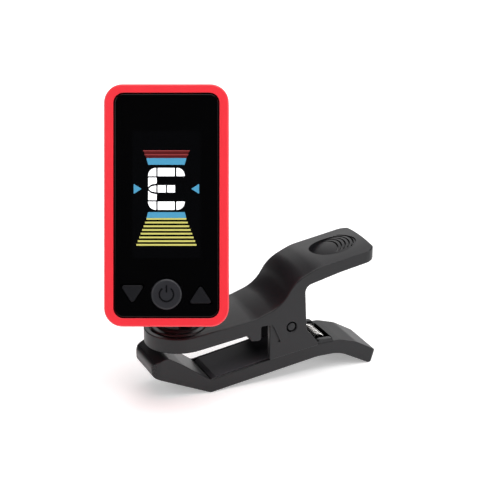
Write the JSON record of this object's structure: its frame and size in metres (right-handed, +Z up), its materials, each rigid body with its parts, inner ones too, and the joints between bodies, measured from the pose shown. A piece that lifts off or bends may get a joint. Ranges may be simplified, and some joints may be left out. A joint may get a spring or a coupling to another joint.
{
  "type": "clip-on tuner",
  "caption": "Sprung black clip with a turret and tilting arm that carries a tall red-framed read-out head with round and triangular keys.",
  "frame": {"origin": "middle of the whole tuner's footprint, on the surface it stands on", "axes": "+X along the clip from its nose to its thumb lever, +Y across the clip, +Z up"},
  "size_m": [0.0698, 0.0374, 0.0736],
  "materials": {
    "clip_plastic": "satin black moulded plastic",
    "grip_rubber": "matte black rubber",
    "red_shell": "satin red moulded plastic",
    "window_black": "polished black acrylic",
    "lcd_glass": "display glass",
    "milky_acrylic": "milky light guide",
    "green_laminate": "solder-masked laminate",
    "chip_resin": "moulded resin",
    "bright_steel": "bright drawn steel",
    "cell_nickel": "nickel-plated can",
    "black_zinc": "black zinc plate",
    "brass": "stamped brass",
    "key_plastic": "satin dark grey key",
    "switch_white": "white moulded plastic"
  },
  "bodies": {
    "lower_jaw": {"lower_jaw": "clip_plastic", "lower_jaw_pad": "grip_rubber", "jaw_pivot_pin": "clip_plastic", "spring_pin": "bright_steel", "torsion_spring": "bright_steel"},
    "upper_jaw": {"upper_jaw": "clip_plastic", "upper_jaw_pad": "grip_rubber"},
    "turret": {"swivel_turret": "clip_plastic", "turret_screw": "black_zinc", "turret_washer": "bright_steel", "tilt_pin": "bright_steel"},
    "tilt_arm": {"tilt_arm": "clip_plastic"},
    "head": {"front_frame": "red_shell", "rear_cover": "red_shell", "display_window": "window_black", "lcd_panel": "lcd_glass", "light_guide": "milky_acrylic", "lcd_connector": "grip_rubber", "circuit_board": "green_laminate", "control_chip": "chip_resin", "switch_down": "bright_steel", "switch_power": "bright_steel", "switch_up": "bright_steel", "piezo_sensor": "brass", "coin_cell": "cell_nickel", "battery_ring": "switch_white", "contact_negative": "brass", "contact_positive": "brass", "housing_screw_1": "black_zinc", "housing_screw_2": "black_zinc", "housing_screw_3": "black_zinc", "housing_screw_4": "black_zinc", "spin_screw": "black_zinc", "spin_nut": "brass"},
    "power_button": {"power_button": "key_plastic"},
    "down_button": {"down_button": "key_plastic"},
    "up_button": {"up_button": "key_plastic"},
    "battery_door": {"battery_door": "red_shell"}
  },
  "joints": [
    {"name": "jaw_pivot", "type": "hinge", "parent": "lower_jaw", "child": "upper_jaw", "pos_m": [0.0113, -0.00021, 0.0142], "axis": [0, 1, 0], "range_deg": [0, 32], "stiffness_Nm_per_rad": 0.2, "springref_deg": -40.11, "deforming": ["torsion_spring"]},
    {"name": "turret_turn", "type": "hinge", "parent": "upper_jaw", "child": "turret", "pos_m": [-0.0145, -0.00021, 0.0159], "axis": [0, 0, 1], "continuous": true},
    {"name": "head_tilt", "type": "hinge", "parent": "turret", "child": "tilt_arm", "pos_m": [-0.0145, -0.00021, 0.0208], "axis": [0.9178, -0.3971, 0], "range_deg": [-55, 20]},
    {"name": "head_spin", "type": "hinge", "parent": "tilt_arm", "child": "head", "pos_m": [-0.01549, 0.00266, 0.03712], "axis": [0.3695, 0.8539, -0.3665], "range_deg": [0, 95]},
    {"name": "battery_door_twist", "type": "hinge", "parent": "head", "child": "battery_door", "pos_m": [-0.01279, 0.00891, 0.05442], "axis": [0.3695, 0.8539, -0.3665], "range_deg": [0, 40]},
    {"name": "power_button_press", "type": "slide", "parent": "head", "child": "power_button", "axis": [0.3695, 0.8539, -0.3665], "range_m": [0, 0.0005], "stiffness_N_per_m": 600, "springref_m": -0.0006},
    {"name": "down_button_press", "type": "slide", "parent": "head", "child": "down_button", "axis": [0.3695, 0.8539, -0.3665], "range_m": [0, 0.0005], "stiffness_N_per_m": 600, "springref_m": -0.0006},
    {"name": "up_button_press", "type": "slide", "parent": "head", "child": "up_button", "axis": [0.3695, 0.8539, -0.3665], "range_m": [0, 0.0005], "stiffness_N_per_m": 600, "springref_m": -0.0006}
  ]
}
